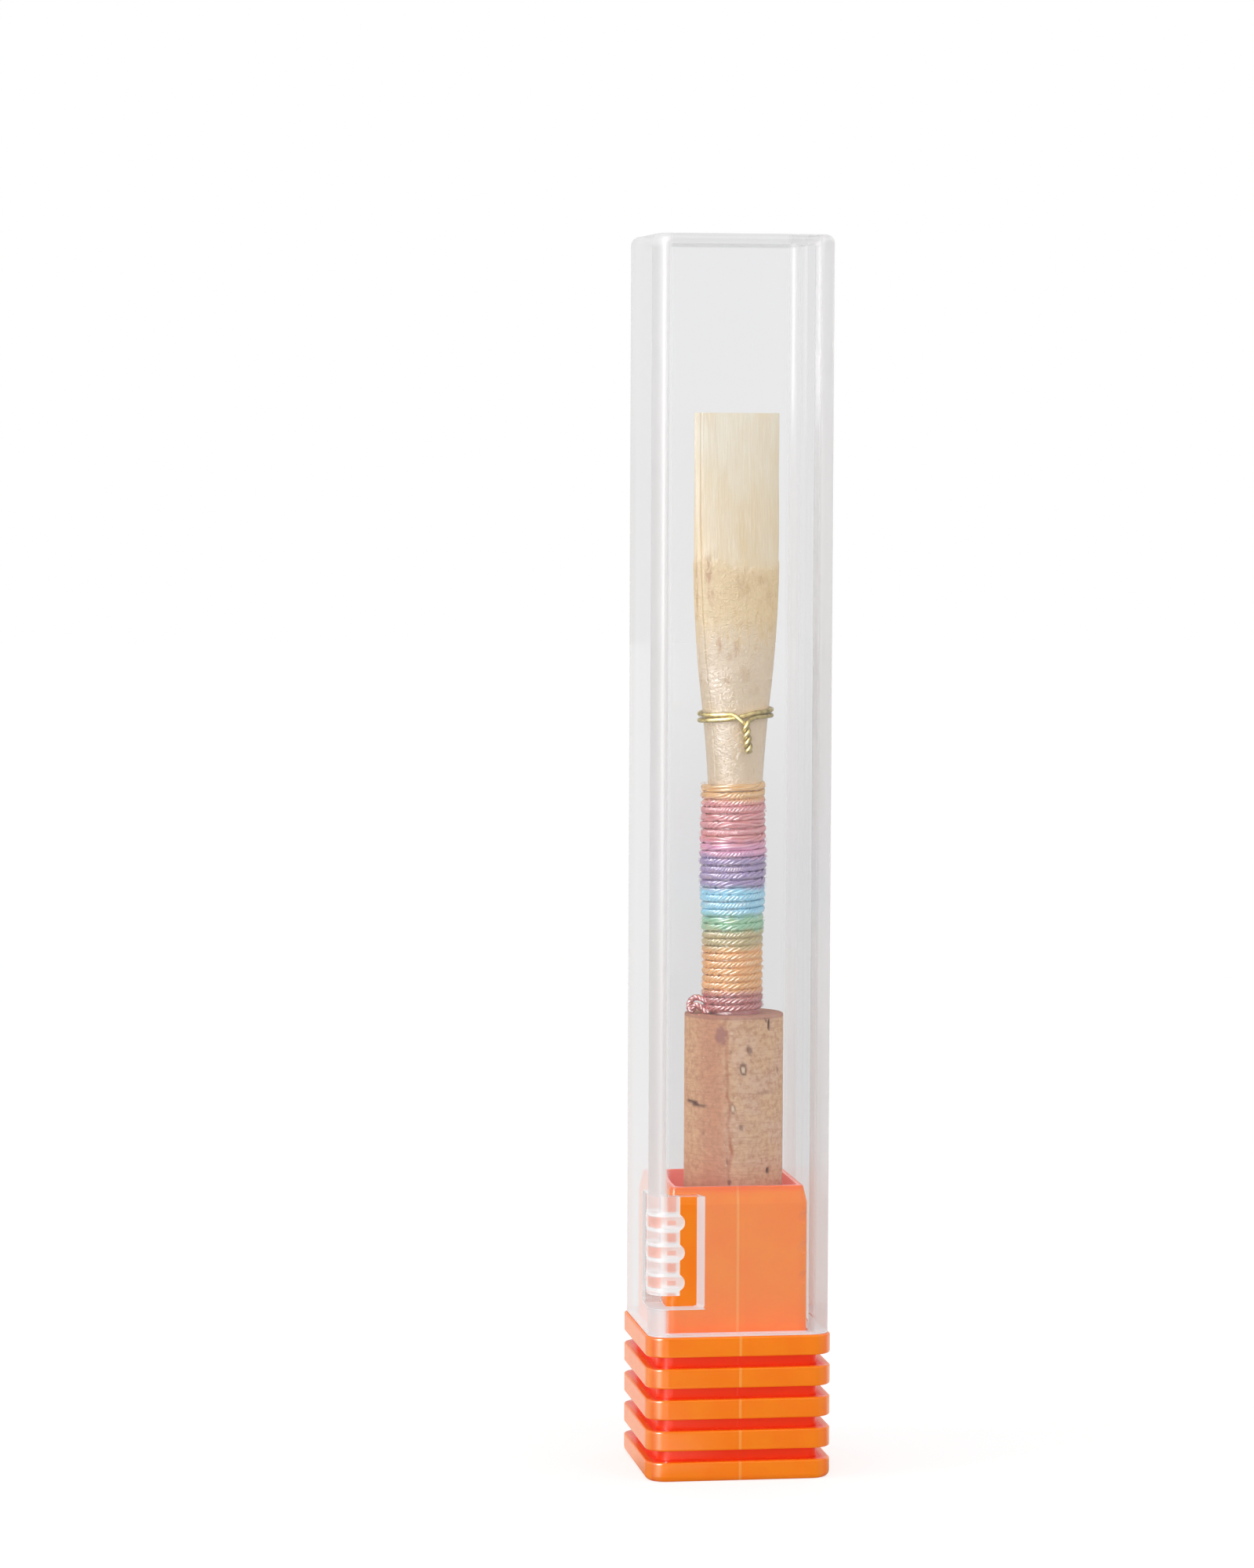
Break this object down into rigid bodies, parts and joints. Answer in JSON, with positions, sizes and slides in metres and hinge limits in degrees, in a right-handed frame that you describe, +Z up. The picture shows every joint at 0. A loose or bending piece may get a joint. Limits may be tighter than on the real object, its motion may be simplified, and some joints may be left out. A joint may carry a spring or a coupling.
{
  "type": "oboe reed in a storage case",
  "caption": "Double reed of cane on a corked staple, bound with thread and wire, standing in a ribbed square base under a clear sliding cover with a ratchet tongue.",
  "frame": {"origin": "centre of the base's flat underside", "axes": "+Z up along the case and the reed, front of the case towards -Y, +X to the right seen from the front"},
  "size_m": [0.0152, 0.0152, 0.1007],
  "materials": {
    "base_plastic": "opaque orange injection-moulded plastic, softly glossy",
    "clear_plastic": "clear injection-moulded plastic, polished",
    "tongue_plastic": "clear injection-moulded plastic, polished, moulded in one with the cover",
    "cork": "sanded natural cork with pores",
    "staple_metal": "drawn metal tube",
    "cane": "reed cane, scraped pale at the tip, bark below",
    "thread": "twisted nylon thread dyed in rainbow bands",
    "wire": "soft bright brass wire"
  },
  "bodies": {
    "base": {"base": "base_plastic"},
    "cover": {"cover": "clear_plastic"},
    "tongue": {"ratchet_tongue": "tongue_plastic"},
    "reed": {"cork": "cork", "staple": "staple_metal", "blade_front": "cane", "blade_back": "cane", "thread_underlayer": "thread", "thread_winding": "thread", "thread_knot": "thread", "binding_wire": "wire", "wire_tail": "wire"}
  },
  "joints": [
    {"name": "cover_lift", "type": "slide", "parent": "base", "child": "cover", "axis": [0, 0, 1], "range_m": [0, 0.08]},
    {"name": "tongue_flex", "type": "hinge", "parent": "cover", "child": "tongue", "pos_m": [-0.00696, -0.00696, 0.0233], "axis": [-0.7071, 0.7071, 0], "range_deg": [0, 6], "stiffness_Nm_per_rad": 0.002},
    {"name": "reed_lift", "type": "slide", "parent": "base", "child": "reed", "axis": [0, 0, 1], "range_m": [0, 0.012]}
  ]
}
